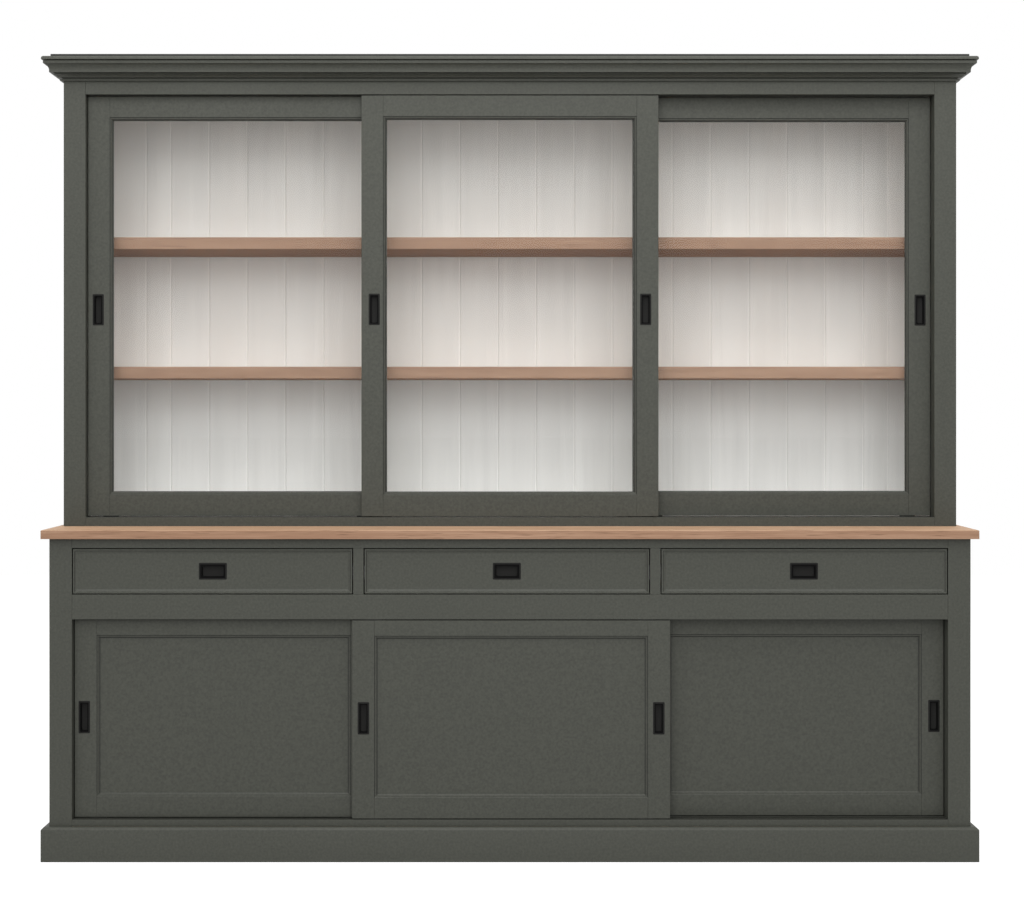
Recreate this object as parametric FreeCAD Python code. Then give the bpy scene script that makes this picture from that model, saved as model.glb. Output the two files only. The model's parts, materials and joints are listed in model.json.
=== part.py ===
import FreeCAD, Part
import os

# Two-section hutch in millimetres: +X right, +Y towards the wall, +Z up.
# The origin is on the floor below the middle of the worktop.

# Overall
carcass_width = 2364.0
base_depth = 502.0
upper_depth = 350.0
worktop_overhang = 18.0
worktop_thickness = 22.5
worktop_edge_radius = 2.0

# Boards
side_thickness = 18.0
back_thickness = 12.0
deck_thickness = 18.0
top_thickness = 18.0
base_shelf_thickness = 18.0
upper_shelf_thickness = 32.0
base_partition_thickness = 18.0
upper_partition_thickness = 20.0
base_partition_spacing = 762.0
upper_partition_spacing = 732.0
bearer_thickness = 18.0
shelf_setback = 21.5

# Face frame, from the floor up
plinth_height = 88.0
plinth_thickness = 18.0
plinth_chamfer = 6.0
base_sill_height = 17.0
base_opening_height = 513.5
mid_rail_height = 64.0
drawer_opening_height = 119.0
top_rail_height = 24.5
upper_sill_height = 23.5
upper_opening_height = 1120.0
frieze_height = 35.0
post_width = 58.0
frame_thickness = 20.0
divider_width = 27.0
divider_shift = -8.0
head_thickness = 25.0

# Crown moulding, each band from the bottom up, and the cap board on it
crown_bead_projection = 8.0
crown_bead_height = 4.0
crown_low_quirk_projection = 3.0
crown_low_quirk_height = 4.0
crown_low_cove_start = 12.0
crown_low_cove_end = 24.0
crown_low_cove_height = 6.5
crown_low_cove_bulge = 0.09
crown_middle_quirk_projection = 20.0
crown_middle_quirk_height = 4.0
crown_band_projection = 31.0
crown_band_height = 5.0
crown_high_cove_end = 42.0
crown_high_cove_height = 16.4
crown_high_cove_bulge = 0.15
crown_fillet_projection = 44.0
crown_fillet_height = 7.4
crown_top_quirk_projection = 36.0
crown_top_quirk_height = 2.2
crown_top_projection = 48.0
crown_top_height = 9.5
cap_inset = 20.0
cap_thickness = 8.0

# Sliding doors: the middle one is in front, the left one next, the right one behind
door_thickness = 16.0
door_gap = 2.5
door_setback = 1.0
door_end_gap = 2.5
door_rise = 2.5
track_back_room = 4.5
upper_middle_door_width = 787.0
upper_middle_door_shift = 0.0
upper_door_overlap = 66.0
lower_middle_door_width = 816.0
lower_middle_door_shift = 3.0
lower_door_overlap = 54.5
upper_stile_width = 57.5
upper_top_rail_width = 55.0
upper_bottom_rail_width = 57.5
lower_stile_width = 57.0
lower_top_rail_width = 40.0
lower_bottom_rail_width = 54.0
moulding_width = 8.0
moulding_step = 1.5
moulding_lead = 1.5
moulding_depth = 7.0
infill_groove = 7.0
glass_thickness = 4.0
panel_thickness = 6.0

# Door tracks and gliders
track_width = 9.0
track_height = 7.0
track_wall = 1.0
glider_clearance = 0.3
glider_length = 40.0
glider_mortise = 10.0
glider_inset = 60.0

# Drawers
drawer_front_gap = 2.5
drawer_front_setback = 1.0
drawer_front_thickness = 20.0
drawer_rim = 6.0
drawer_bevel = 10.0
drawer_bevel_step = 1.0
drawer_recess = 5.0
drawer_back_room = 69.0
drawer_top_room = 20.0
drawer_side_thickness = 12.0
drawer_bottom_thickness = 6.0
drawer_bottom_rise = 8.0
drawer_bottom_groove = 5.0
drawer_floor_gap = 10.0
slide_gap = 12.5
slide_height = 35.0
slide_channel_depth = 9.0
slide_wall = 1.5
slide_clearance = 0.3

# Flush pulls: a flange on the face and a cup sunk in the wood
pull_flange = 1.2
pull_wall = 1.2
pull_cup_depth = 10.0
pull_corner_radius = 4.0
pull_fit = 0.3
door_pull_width = 29.5
door_pull_height = 83.0
door_pull_mouth_width = 16.5
door_pull_mouth_height = 70.0
drawer_pull_width = 72.0
drawer_pull_height = 43.0
drawer_pull_mouth_width = 56.0
drawer_pull_mouth_height = 26.0
upper_pull_rise = 551.0
lower_pull_rise = 260.0
upper_middle_pull_inset = 34.0
upper_side_pull_inset = 27.0
lower_middle_pull_inset = 29.0
lower_side_pull_inset = 25.0

# Interior
low_oak_shelf_rise = 369.0
high_oak_shelf_rise = 717.5
base_shelf_rise = 250.0
pin_diameter = 6.0
pin_depth = 6.0
pin_reach = 9.0
pin_inset = 45.0
plank_pitch = 108.0
plank_shift = 20.0
plank_inner_width = 74.0
plank_narrow_width = 70.0
plank_least_width = 60.0
plank_chamfer = 3.0

# Levels and planes worked out from the sizes above
half_width = carcass_width / 2
inside_half = half_width - side_thickness
opening_half = half_width - post_width
back_y = (base_depth + worktop_overhang) / 2
back_face = back_y - back_thickness
base_front = back_y - base_depth
upper_front = back_y - upper_depth
track_zone = door_setback + 3 * door_thickness + 2 * door_gap + track_back_room
base_floor_z = plinth_height + base_sill_height
base_head_z = base_floor_z + base_opening_height
drawer_z = base_head_z + mid_rail_height
top_rail_z = drawer_z + drawer_opening_height
base_top_z = top_rail_z + top_rail_height
upper_z = base_top_z + worktop_thickness
upper_floor_z = upper_z + upper_sill_height
upper_head_z = upper_floor_z + upper_opening_height
crown_z = upper_head_z + frieze_height
crown_low_cove_foot = crown_bead_height + crown_low_quirk_height
crown_low_cove_top = crown_low_cove_foot + crown_low_cove_height
crown_band_foot = crown_low_cove_top + crown_middle_quirk_height
crown_high_cove_foot = crown_band_foot + crown_band_height
crown_high_cove_top = crown_high_cove_foot + crown_high_cove_height
crown_fillet_top = crown_high_cove_top + crown_fillet_height
crown_top_foot = crown_fillet_top + crown_top_quirk_height
crown_height = crown_top_foot + crown_top_height
top_z = crown_z + crown_height
divider_half = base_partition_spacing / 2
divider_centres = (divider_shift - divider_half, divider_shift + divider_half)

Vector = FreeCAD.Vector
across = Vector(1, 0, 0)
inward = Vector(0, 1, 0)
upward = Vector(0, 0, 1)


# Shapes used by several pieces

def box(x, y, z):
    corner = Vector(x[0], y[0], z[0])
    return Part.makeBox(x[1] - x[0], y[1] - y[0], z[1] - z[0], corner)


def prism(points, direction):
    return Part.Face(Part.makePolygon(points + points[:1])).extrude(direction)


def grow(span, amount):
    return (span[0] - amount, span[1] + amount)


def around(centre, length):
    return (centre - length / 2, centre + length / 2)


def pair(solid):
    return [solid, solid.mirror(Vector(0, 0, 0), across)]


def rectangle(x, y, z):
    corners = [(x[0], z[0]), (x[1], z[0]), (x[1], z[1]), (x[0], z[1]), (x[0], z[0])]
    return Part.makePolygon([Vector(cx, y, cz) for cx, cz in corners])


def rounded_block(x, y, z, radius):
    block = box(x, y, z)
    corners = [edge for edge in block.Edges if abs(edge.tangentAt(edge.FirstParameter).y) > 0.9]
    return block.makeFillet(radius, corners)


def moulded_recess(x, z, face, width, step, lead, depth):
    # A square step, then a slope that ends width inside the given outline
    slope = Part.makeLoft([rectangle(grow(x, -lead), face + step, grow(z, -lead)),
                           rectangle(grow(x, -width), face + depth, grow(z, -width))], True, True)
    return box(x, (face, face + step), z).fuse(slope)


def write(node, solids):
    shape = solids[0] if len(solids) == 1 else Part.makeCompound(solids)
    shape.exportStep("parts/" + node + ".step")
    print(node, len(solids), "solids, valid", shape.isValid())


# Carcass of the base section

def plinth_run_profile(place):
    outline = [(0, 0), (plinth_thickness, 0), (plinth_thickness, plinth_height - plinth_chamfer),
               (plinth_thickness - plinth_chamfer, plinth_height), (0, plinth_height)]
    points = [place(out, rise) for out, rise in outline]
    return Part.Face(Part.makePolygon(points + points[:1]))


def mitred_run(profile, front, reach):
    # A moulding round the front and both sides, mitred at the front corners
    outer = half_width + reach
    side_length = back_y - front + reach
    front_face = profile(lambda out, rise: Vector(-outer, front - out, rise))
    side_face = profile(lambda out, rise: Vector(half_width + out, front - reach, rise))
    beyond = [Vector(half_width, front, -1), Vector(outer + 1, front - reach - 1, -1),
              Vector(outer + 1, front, -1)]
    before = [Vector(half_width, front, -1), Vector(outer + 1, front - reach - 1, -1),
              Vector(half_width - 1, front - reach - 1, -1), Vector(half_width - 1, front, -1)]
    height = upward * (top_z + 2)
    front_run = front_face.extrude(across * (2 * outer))
    for cutter in pair(prism(beyond, height)):
        front_run = front_run.cut(cutter)
    side_run = side_face.extrude(inward * side_length).cut(prism(before, height))
    return [front_run.Solids[0]] + pair(side_run.Solids[0])


def base_carcass():
    front = base_front
    frame_back = front + frame_thickness
    zone_back = front + track_zone
    inside = (-inside_half, inside_half)
    opening = (-opening_half, opening_half)
    side_x = (inside_half, half_width)
    jamb_x = (opening_half, inside_half)
    deck_z = drawer_z - deck_thickness
    write("plinth", mitred_run(plinth_run_profile, front, plinth_thickness))
    bearers = [box(opening, (front, frame_back), (0, plinth_height)),
               box(inside, (back_face - bearer_thickness, back_face), (0, plinth_height))]
    cross_bearer = box(around(base_partition_spacing / 2, bearer_thickness),
                       (frame_back, back_face - bearer_thickness), (0, plinth_height))
    write("plinth_bearers", bearers + pair(cross_bearer))
    side = box(side_x, (frame_back, back_y), (0, base_top_z))
    write("base_sides", pair(drill_pins(side, base_pins())))
    write("base_boards", [box(inside, (zone_back, back_face), (plinth_height, base_floor_z)),
                          box(inside, (frame_back, back_face), (deck_z, drawer_z))])
    write("base_back", [box(inside, (back_face, back_y), (0, base_top_z))])
    post = box((opening_half, half_width), (front, frame_back), (0, base_top_z))
    jamb = box(jamb_x, (frame_back, zone_back), (0, deck_z))
    mid_rail = box(opening, (front, frame_back), (base_head_z, drawer_z))
    mid_rail = mid_rail.cut(track_groove(front, 0, base_head_z, track_height))
    top_rail = box(opening, (front, frame_back), (top_rail_z, base_top_z))
    write("base_face_frame", pair(post) + pair(jamb) + [mid_rail, top_rail])
    divider_outline = [(front, drawer_z), (back_face, drawer_z), (back_face, base_top_z),
                       (frame_back, base_top_z), (frame_back, top_rail_z), (front, top_rail_z)]
    dividers = []
    for centre in divider_centres:
        corners = [Vector(centre - divider_width / 2, y, z) for y, z in divider_outline]
        dividers.append(prism(corners, across * divider_width))
    packer = box(jamb_x, (frame_back, back_face), (drawer_z, base_top_z))
    write("drawer_dividers", dividers + pair(packer))
    partition = box(around(base_partition_spacing / 2, base_partition_thickness),
                    (zone_back, back_face), (base_floor_z, deck_z))
    write("base_partitions", pair(drill_pins(partition, base_pins())))
    write("base_shelves", shelves(base_partition_spacing, base_partition_thickness, zone_back,
                                  base_floor_z, [base_shelf_rise], base_shelf_thickness))


# Carcass of the upper section

def crown_profile(place):
    # Bead, cove, band, cove, fillet and top, with a sunk quirk below each overhang
    def at(out, rise):
        return place(out, crown_z + rise)

    def hollow(start, end, bulge):
        # Arc from start to end, sunk by a share of its chord
        run = end[0] - start[0]
        climb = end[1] - start[1]
        middle = ((start[0] + end[0]) / 2 - bulge * climb, (start[1] + end[1]) / 2 + bulge * run)
        return Part.Arc(at(*start), at(*middle), at(*end)).toShape()

    def straight(*corners):
        return Part.makePolygon([at(*corner) for corner in corners]).Edges

    low_start = (crown_low_cove_start, crown_low_cove_foot)
    low_end = (crown_low_cove_end, crown_low_cove_top)
    high_start = (crown_band_projection, crown_high_cove_foot)
    high_end = (crown_high_cove_end, crown_high_cove_top)
    edges = straight((0, 0), (crown_bead_projection, 0), (crown_bead_projection, crown_bead_height),
                     (crown_low_quirk_projection, crown_bead_height),
                     (crown_low_quirk_projection, crown_low_cove_foot), low_start)
    edges.append(hollow(low_start, low_end, crown_low_cove_bulge))
    edges += straight(low_end, (crown_middle_quirk_projection, crown_low_cove_top),
                      (crown_middle_quirk_projection, crown_band_foot),
                      (crown_band_projection, crown_band_foot), high_start)
    edges.append(hollow(high_start, high_end, crown_high_cove_bulge))
    edges += straight(high_end, (crown_fillet_projection, crown_high_cove_top),
                      (crown_fillet_projection, crown_fillet_top),
                      (crown_top_quirk_projection, crown_fillet_top),
                      (crown_top_quirk_projection, crown_top_foot), (crown_top_projection, crown_top_foot),
                      (crown_top_projection, crown_height), (0, crown_height), (0, 0))
    return Part.Face(Part.Wire(edges))


def upper_carcass():
    front = upper_front
    frame_back = front + frame_thickness
    zone_back = front + track_zone
    inside = (-inside_half, inside_half)
    opening = (-opening_half, opening_half)
    board_z = top_z - top_thickness
    side = box((inside_half, half_width), (frame_back, back_y), (upper_z, top_z))
    write("upper_sides", pair(drill_pins(side, upper_pins())))
    post = box((opening_half, half_width), (front, frame_back), (upper_z, top_z))
    jamb = box((opening_half, inside_half), (frame_back, zone_back), (upper_z, board_z))
    frieze = box(opening, (front, frame_back), (upper_head_z, top_z))
    frieze = frieze.cut(track_groove(front, 0, upper_head_z, track_height))
    write("upper_face_frame", pair(post) + pair(jamb) + [frieze])
    write("upper_boards", [box(inside, (zone_back, back_face), (upper_z, upper_floor_z)),
                           box(inside, (frame_back, back_face), (board_z, top_z))])
    partition = box(around(upper_partition_spacing / 2, upper_partition_thickness),
                    (zone_back, back_face), (upper_floor_z, board_z))
    write("upper_partitions", pair(drill_pins(partition, upper_pins())))
    write("upper_shelves", shelves(upper_partition_spacing, upper_partition_thickness, zone_back,
                                   upper_floor_z, [low_oak_shelf_rise, high_oak_shelf_rise],
                                   upper_shelf_thickness))
    crown_reach = max(crown_high_cove_end, crown_fillet_projection, crown_top_projection)
    write("crown", mitred_run(crown_profile, front, crown_reach))
    cap_half = half_width + crown_top_projection - cap_inset
    cap_y = (front - crown_top_projection + cap_inset, back_y)
    write("top_cap", [box((-cap_half, cap_half), cap_y, (top_z, top_z + cap_thickness))])


def worktop():
    half = half_width + worktop_overhang
    board = box((-half, half), (-back_y, back_y), (base_top_z, upper_z))
    middle_z = base_top_z + worktop_thickness / 2
    rounded = [edge for edge in board.Edges
               if edge.BoundBox.ZMin > middle_z and edge.BoundBox.YMin < back_y / 2]
    write("worktop", [board.makeFillet(worktop_edge_radius, rounded)])


def back_planks():
    # Planks of one pitch fill each bay, with odd widths beside the partitions and the sides
    partition_x = upper_partition_spacing / 2
    side_start = partition_x + plank_inner_width
    middle_room = partition_x - plank_shift - plank_least_width
    side_room = inside_half - plank_narrow_width - plank_least_width - side_start
    offsets = [plank_pitch * (k + 0.5) for k in range(int(middle_room / plank_pitch + 0.5))]
    offsets += [side_start + plank_pitch * k for k in range(int(side_room / plank_pitch) + 1)]
    offsets.append(offsets[-1] + plank_narrow_width)
    joints = [plank_shift + x for x in offsets] + [plank_shift - x for x in offsets]
    joints += [-inside_half, -partition_x, partition_x, inside_half]
    joints.sort()
    planks = []
    for left, right in zip(joints, joints[1:]):
        outline = [(left, back_y), (right, back_y), (right, back_face + plank_chamfer),
                   (right - plank_chamfer, back_face), (left + plank_chamfer, back_face),
                   (left, back_face + plank_chamfer)]
        planks.append(prism([Vector(x, y, upper_z) for x, y in outline], upward * (top_z - upper_z)))
    write("back_planks", planks)


# Shelves and the pins that carry them

def shelves(spacing, partition, zone_back, floor, rises, thickness):
    inner = (spacing - partition) / 2
    outer = (spacing + partition) / 2
    depth = (zone_back + shelf_setback, back_face)
    boards = []
    for rise in rises:
        level = (floor + rise, floor + rise + thickness)
        boards += pair(box((outer, inside_half), depth, level))
        boards.append(box((-inner, inner), depth, level))
    return boards


def pin_bars(spacing, partition, zone_back, floor, rises):
    # Pins reach into the bays from the sides and through neither face of a partition
    faces = [((spacing - partition) / 2, -1), ((spacing + partition) / 2, 1), (inside_half, -1)]
    depths = (zone_back + shelf_setback + pin_inset, back_face - pin_inset)
    pins = []
    for rise in rises:
        for face, way in faces:
            for y in depths:
                start = Vector(face - way * pin_depth, y, floor + rise - pin_diameter / 2)
                pins.append(Part.makeCylinder(pin_diameter / 2, pin_depth + pin_reach, start, across * way))
    return pins


def base_pins():
    return pin_bars(base_partition_spacing, base_partition_thickness, base_front + track_zone,
                    base_floor_z, [base_shelf_rise])


def upper_pins():
    return pin_bars(upper_partition_spacing, upper_partition_thickness, upper_front + track_zone,
                    upper_floor_z, [low_oak_shelf_rise, high_oak_shelf_rise])


def drill_pins(board, pins):
    for pin in pins:
        board = board.cut(pin)
    return board


def shelf_pins():
    pins = []
    for pin in base_pins() + upper_pins():
        pins += pair(pin)
    write("shelf_pins", pins)


# Sills, heads and tracks of the sliding doors

def door_face(front, track):
    return front + door_setback + track * (door_thickness + door_gap)


def track_span(front, track):
    return around(door_face(front, track) + door_thickness / 2, track_width)


def track_groove(front, track, level, height):
    low, high = sorted((level, level + height))
    return box((-opening_half, opening_half), track_span(front, track), (low, high))


def track_channel(front, track, level, height):
    channel = track_groove(front, track, level, height)
    wall = track_wall if height > 0 else -track_wall
    low, high = sorted((level, level + height - wall))
    inner = box((-opening_half, opening_half), grow(track_span(front, track), -track_wall), (low, high))
    return channel.cut(inner)


def door_ways():
    sections = [(base_front, plinth_height, base_floor_z, base_head_z),
                (upper_front, upper_z, upper_floor_z, upper_head_z)]
    opening = (-opening_half, opening_half)
    sills = []
    heads = []
    channels = []
    for front, foot, floor, head in sections:
        zone_back = front + track_zone
        sill = box(opening, (front, zone_back), (foot, floor))
        head_board = box(opening, (front + frame_thickness, zone_back), (head, head + head_thickness))
        for track in range(3):
            sill = sill.cut(track_groove(front, track, floor, -track_height))
            head_board = head_board.cut(track_groove(front, track, head, track_height))
            channels.append(track_channel(front, track, floor, -track_height))
            channels.append(track_channel(front, track, head, track_height))
        sills.append(sill)
        heads.append(head_board)
    write("door_sills", sills)
    write("door_heads", heads)
    write("door_tracks", channels)


# Sliding doors

def flush_pull(x, z, face, width, height, mouth_width, mouth_height):
    mouth_x = around(x, mouth_width)
    mouth_z = around(z, mouth_height)
    cup_back = face + pull_cup_depth
    flange = rounded_block(around(x, width), (face - pull_flange, face), around(z, height), pull_wall)
    cup = rounded_block(grow(mouth_x, pull_wall), (face, cup_back + pull_wall), grow(mouth_z, pull_wall),
                        pull_corner_radius + pull_wall)
    mouth = rounded_block(mouth_x, (face - pull_flange, cup_back), mouth_z, pull_corner_radius)
    return flange.fuse(cup).cut(mouth).removeSplitter().Solids[0]


def pull_pocket(x, z, face, mouth_width, mouth_height):
    reach = pull_wall + pull_fit
    return rounded_block(grow(around(x, mouth_width), reach), (face, face + pull_cup_depth + reach),
                         grow(around(z, mouth_height), reach), pull_corner_radius + reach)


def gliders(x, floor, head, middle):
    # Blocks let into the door's edges, with a tongue that runs in the track
    width = track_width - 2 * track_wall - 2 * glider_clearance
    tongue = track_height - track_wall - glider_clearance
    blocks = []
    for centre in (x[0] + glider_inset, x[1] - glider_inset):
        along = around(centre, glider_length)
        through = around(middle, width)
        blocks.append(box(along, through, (floor - tongue, floor + door_rise + glider_mortise)))
        blocks.append(box(along, through, (head - door_rise - glider_mortise, head + tongue)))
    return blocks


def sliding_door(name, infill_name, x, floor, head, face, stile, top_rail, bottom_rail, infill_thickness,
                 pull_xs, pull_z):
    z = (floor + door_rise, head - door_rise)
    depth = (face, face + door_thickness)
    flat_x = grow(x, -stile)
    flat_z = (z[0] + bottom_rail, z[1] - top_rail)
    sight_x = grow(flat_x, -moulding_width)
    sight_z = grow(flat_z, -moulding_width)
    infill_y = (face + moulding_depth, face + moulding_depth + infill_thickness)
    infill = box(grow(sight_x, infill_groove), infill_y, grow(sight_z, infill_groove))
    slides = gliders(x, floor, head, face + door_thickness / 2)
    blank = box(x, depth, z).cut(box(sight_x, depth, sight_z))
    blank = blank.cut(moulded_recess(flat_x, flat_z, face, moulding_width, moulding_step, moulding_lead,
                                     moulding_depth))
    for piece in [infill] + slides:
        blank = blank.cut(piece)
    for pull_x in pull_xs:
        blank = blank.cut(pull_pocket(pull_x, pull_z, face, door_pull_mouth_width, door_pull_mouth_height))

    def member(corners):
        outline = [Vector(cx, face, cz) for cx, cz in corners]
        return blank.common(prism(outline, inward * door_thickness)).Solids[0]

    def stile_member(edge, flat, sight):
        return member([(edge, z[0]), (flat, z[0]), (flat, flat_z[0]), (sight, sight_z[0]),
                       (sight, sight_z[1]), (flat, flat_z[1]), (flat, z[1]), (edge, z[1])])

    def rail_member(edge, flat, sight):
        return member([(flat_x[0], edge), (flat_x[1], edge), (flat_x[1], flat), (sight_x[1], sight),
                       (sight_x[0], sight), (flat_x[0], flat)])

    frame = [stile_member(x[0], flat_x[0], sight_x[0]), stile_member(x[1], flat_x[1], sight_x[1]),
             rail_member(z[0], flat_z[0], sight_z[0]), rail_member(z[1], flat_z[1], sight_z[1])]
    pulls = [flush_pull(pull_x, pull_z, face, door_pull_width, door_pull_height, door_pull_mouth_width,
                        door_pull_mouth_height) for pull_x in pull_xs]
    write(name + "_frame", frame)
    write(name + "_" + infill_name, [infill])
    write(name + "_pull", pulls)
    write(name + "_gliders", slides)


def door_row(section, infill_name, front, floor, head, middle_width, middle_shift, overlap, stile, top_rail,
             bottom_rail, infill_thickness, pull_rise, middle_inset, side_inset):
    end = opening_half - door_end_gap
    inner = middle_width / 2 - overlap
    middle_x = around(middle_shift, middle_width)
    places = [("middle", 0, middle_x, [middle_x[0] + middle_inset, middle_x[1] - middle_inset]),
              ("left", 1, (-end, -inner), [-end + side_inset]),
              ("right", 2, (inner, end), [end - side_inset])]
    for place, track, x, pull_xs in places:
        sliding_door(section + "_" + place + "_door", infill_name, x, floor, head, door_face(front, track),
                     stile, top_rail, bottom_rail, infill_thickness, pull_xs, floor + pull_rise)


# Drawers and their slides

def slide_channel(face, way, length_y, centre):
    height = around(centre, slide_height)
    outer = sorted((face, face + way * slide_channel_depth))
    inner = sorted((face + way * slide_wall, face + way * slide_channel_depth))
    return box(outer, length_y, height).cut(box(inner, length_y, grow(height, -slide_wall)))


def slide_bar(face, way, length_y, centre):
    span = sorted((face + way * (slide_wall + slide_clearance), face + way * slide_gap))
    return box(span, length_y, grow(around(centre, slide_height), -slide_wall - slide_clearance))


def drawer(name, opening, channels):
    face = base_front + drawer_front_setback
    front_back = face + drawer_front_thickness
    front_x = grow(opening, -drawer_front_gap)
    front_z = (drawer_z + drawer_front_gap, top_rail_z - drawer_front_gap)
    middle = (opening[0] + opening[1]) / 2
    panel_face = face + drawer_recess
    pull_z = (drawer_z + top_rail_z) / 2
    front = box(front_x, (face, front_back), front_z)
    front = front.cut(moulded_recess(grow(front_x, -drawer_rim), grow(front_z, -drawer_rim), face,
                                     drawer_bevel, drawer_bevel_step, drawer_bevel_step, drawer_recess))
    front = front.cut(pull_pocket(middle, pull_z, panel_face, drawer_pull_mouth_width,
                                  drawer_pull_mouth_height))
    write(name + "_front", [front])
    write(name + "_pull", [flush_pull(middle, pull_z, panel_face, drawer_pull_width, drawer_pull_height,
                                      drawer_pull_mouth_width, drawer_pull_mouth_height)])
    outer = grow(opening, -slide_gap)
    inner = grow(outer, -drawer_side_thickness)
    box_y = (front_back, back_face - drawer_back_room)
    box_z = (drawer_z + drawer_floor_gap, top_rail_z - drawer_top_room)
    floor_z = box_z[0] + drawer_bottom_rise
    bottom = box(grow(inner, drawer_bottom_groove),
                 grow(box_y, drawer_bottom_groove - drawer_side_thickness),
                 (floor_z, floor_z + drawer_bottom_thickness))
    walls = [box((outer[0], inner[0]), box_y, box_z), box((inner[1], outer[1]), box_y, box_z),
             box(inner, (box_y[0], box_y[0] + drawer_side_thickness), box_z),
             box(inner, (box_y[1] - drawer_side_thickness, box_y[1]), box_z)]
    write(name + "_box", [wall.cut(bottom) for wall in walls] + [bottom])
    centre = (box_z[0] + box_z[1]) / 2
    write(name + "_slides", [slide_bar(opening[0], 1, box_y, centre),
                             slide_bar(opening[1], -1, box_y, centre)])
    channels.append(slide_channel(opening[0], 1, box_y, centre))
    channels.append(slide_channel(opening[1], -1, box_y, centre))


def drawers():
    left_divider, right_divider = [around(centre, divider_width) for centre in divider_centres]
    openings = [("left_drawer", (-opening_half, left_divider[0])),
                ("middle_drawer", (left_divider[1], right_divider[0])),
                ("right_drawer", (right_divider[1], opening_half))]
    channels = []
    for name, opening in openings:
        drawer(name, opening, channels)
    write("drawer_runners", channels)


os.makedirs("parts", exist_ok=True)
base_carcass()
worktop()
upper_carcass()
back_planks()
shelf_pins()
door_ways()
door_row("upper", "glass", upper_front, upper_floor_z, upper_head_z, upper_middle_door_width,
         upper_middle_door_shift, upper_door_overlap, upper_stile_width, upper_top_rail_width,
         upper_bottom_rail_width, glass_thickness, upper_pull_rise, upper_middle_pull_inset,
         upper_side_pull_inset)
door_row("lower", "panel", base_front, base_floor_z, base_head_z, lower_middle_door_width,
         lower_middle_door_shift, lower_door_overlap, lower_stile_width, lower_top_rail_width,
         lower_bottom_rail_width, panel_thickness, lower_pull_rise, lower_middle_pull_inset,
         lower_side_pull_inset)
drawers()
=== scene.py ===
import bpy
import bmesh
import json
import math
from mathutils import Matrix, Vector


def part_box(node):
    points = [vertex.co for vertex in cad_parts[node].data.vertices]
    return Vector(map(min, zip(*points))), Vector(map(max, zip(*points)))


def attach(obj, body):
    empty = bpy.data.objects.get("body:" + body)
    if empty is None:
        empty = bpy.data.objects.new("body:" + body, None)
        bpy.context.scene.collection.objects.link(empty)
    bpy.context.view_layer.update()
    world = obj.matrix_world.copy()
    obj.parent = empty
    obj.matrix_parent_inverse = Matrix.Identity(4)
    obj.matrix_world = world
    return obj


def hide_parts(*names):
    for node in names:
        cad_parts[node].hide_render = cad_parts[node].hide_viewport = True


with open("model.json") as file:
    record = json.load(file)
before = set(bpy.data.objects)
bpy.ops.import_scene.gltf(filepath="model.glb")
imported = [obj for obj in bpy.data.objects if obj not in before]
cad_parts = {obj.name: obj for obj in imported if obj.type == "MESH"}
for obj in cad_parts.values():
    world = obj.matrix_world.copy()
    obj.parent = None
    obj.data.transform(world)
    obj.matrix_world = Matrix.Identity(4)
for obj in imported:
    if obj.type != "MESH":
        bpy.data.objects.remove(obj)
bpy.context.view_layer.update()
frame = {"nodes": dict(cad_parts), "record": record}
slotOf = {subpart["node"]: subpart["material_slot"] for subpart in frame["record"]["subparts"]}
bodyOf = {node: body for body, members in frame["record"]["behaviour"]["bodies"].items() for node in members}
print("frame loaded:", len(frame["nodes"]), "nodes")

# colours, sRGB 0 to 1; each oak has a light tone, a mean tone and the tone of its pores
finish = {
    "paint": (0.235, 0.240, 0.215),
    # the next colour is a darker coat of the frame paint: painted shade for recesses, steps and edges
    "quirk": (0.120, 0.122, 0.112),
    # the top oak is paler, painted light on upward faces; the underside oak is darker, painted shade
    "oakTopPaintedLight": ((0.780, 0.655, 0.545), (0.700, 0.565, 0.450), (0.500, 0.370, 0.270)),
    "oakEdge": ((0.650, 0.525, 0.430), (0.560, 0.432, 0.342), (0.385, 0.275, 0.200)),
    "oakUnderPaintedShade": ((0.565, 0.415, 0.300), (0.480, 0.345, 0.243), (0.335, 0.225, 0.150)),
    "oakShelf": ((0.605, 0.487, 0.400), (0.520, 0.402, 0.320), (0.360, 0.257, 0.187)),
    "board": (0.902, 0.898, 0.888),
    # the bead white is lighter than the planks: a painted highlight along the plank beads
    "boardBeadHighlight": (0.965, 0.961, 0.952),
    "softwood": (0.780, 0.690, 0.560),
    "iron": (0.118, 0.117, 0.113),
    # the next colour is near black: painted shade for the pulls' cup walls and raised ring
    "ironShadeTone": (0.030, 0.030, 0.030),
    "track": (0.200, 0.200, 0.190),
    "steel": (0.620, 0.620, 0.630),
    "nylon": (0.100, 0.100, 0.100),
}


def linear(colour):
    return tuple(c / 12.92 if c <= 0.04045 else ((c + 0.055) / 1.055) ** 2.4 for c in colour) + (1.0,)


# node helpers

def addNode(tree, kind, x, y, **settings):
    node = tree.nodes.new(kind)
    node.location = (x, y)
    for key, value in settings.items():
        setattr(node, key, value)
    return node


def setInputs(node, **values):
    for label, value in values.items():
        node.inputs[label.replace("_", " ")].default_value = value
    return node


def newGroup(name, inputs, outputs):
    tree = bpy.data.node_groups.new(name, "ShaderNodeTree")
    for label, kind, value in inputs:
        socket = tree.interface.new_socket(label, in_out="INPUT", socket_type=kind)
        if value is not None:
            socket.default_value = value
    for label, kind in outputs:
        tree.interface.new_socket(label, in_out="OUTPUT", socket_type=kind)
    return tree, addNode(tree, "NodeGroupInput", -1100, 0), addNode(tree, "NodeGroupOutput", 700, 0)


def newMaterial(name):
    material = bpy.data.materials.new(name)
    material.use_nodes = True
    tree = material.node_tree
    return material, tree, tree.nodes["Principled BSDF"]


def placeGroup(tree, group, x, y, **values):
    return setInputs(addNode(tree, "ShaderNodeGroup", x, y, node_tree=group), **values)


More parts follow.
